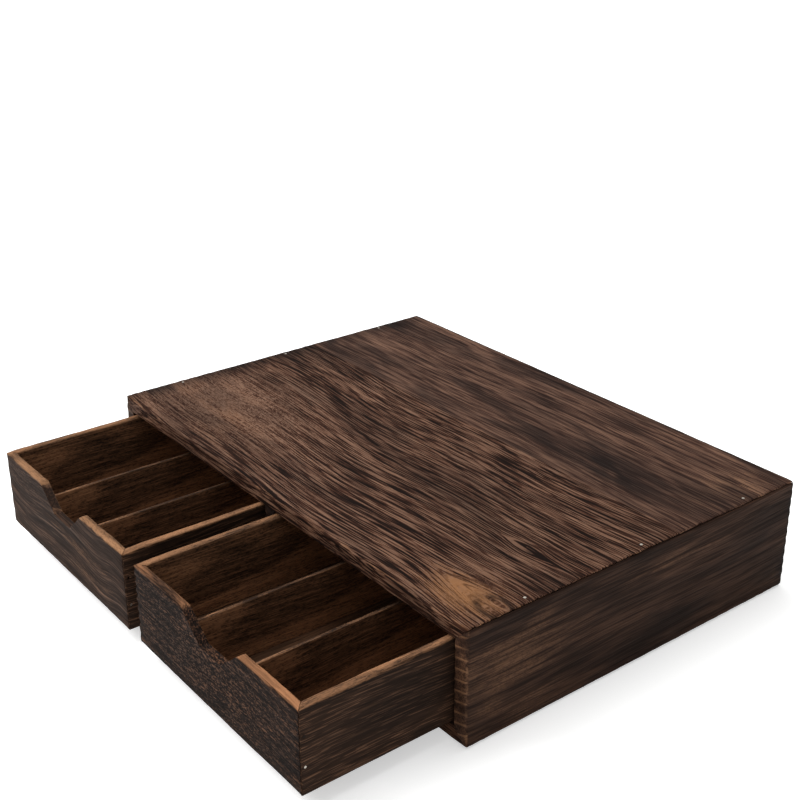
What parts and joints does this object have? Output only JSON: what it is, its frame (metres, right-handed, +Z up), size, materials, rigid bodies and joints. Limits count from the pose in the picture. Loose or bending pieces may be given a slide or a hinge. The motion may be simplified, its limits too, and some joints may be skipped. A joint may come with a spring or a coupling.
{
  "type": "coffee pod drawer",
  "caption": "Low torched-wood case with a pair of side-by-side sliding drawers, each split into rows for drink pods, with a flat top that carries an appliance.",
  "frame": {"origin": "centre of the case's underside", "axes": "+Z up, +X to the right, drawers pull out towards -Y"},
  "size_m": [0.421, 0.4034, 0.084],
  "materials": {
    "case_wood": "torched and wire-brushed softwood, dark brown, thin satin oil",
    "case_back_ply": "stained plywood",
    "drawer_wood": "torched and wire-brushed softwood, worn lighter on the edges",
    "drawer_ply": "stained plywood",
    "brad_steel": "dull steel brad heads"
  },
  "bodies": {
    "case": {"case_top_front_plank": "case_wood", "case_top_rear_plank": "case_wood", "case_bottom_front_plank": "case_wood", "case_bottom_rear_plank": "case_wood", "case_left_side": "case_wood", "case_right_side": "case_wood", "centre_partition": "case_wood", "case_back": "case_back_ply", "case_brads": "brad_steel", "back_brads": "brad_steel"},
    "left_drawer": {"left_drawer_front": "drawer_wood", "left_drawer_left_side": "drawer_wood", "left_drawer_right_side": "drawer_wood", "left_drawer_back": "drawer_wood", "left_drawer_floor": "drawer_ply", "left_drawer_left_divider": "drawer_ply", "left_drawer_right_divider": "drawer_ply", "left_drawer_brads": "brad_steel"},
    "right_drawer": {"right_drawer_front": "drawer_wood", "right_drawer_left_side": "drawer_wood", "right_drawer_right_side": "drawer_wood", "right_drawer_back": "drawer_wood", "right_drawer_floor": "drawer_ply", "right_drawer_left_divider": "drawer_ply", "right_drawer_right_divider": "drawer_ply", "right_drawer_brads": "brad_steel"}
  },
  "joints": [
    {"name": "left_drawer_slide", "type": "slide", "parent": "case", "child": "left_drawer", "axis": [0, -1, 0], "range_m": [-0.1064, 0.1276]},
    {"name": "right_drawer_slide", "type": "slide", "parent": "case", "child": "right_drawer", "axis": [0, -1, 0], "range_m": [-0.1064, 0.1276]}
  ]
}
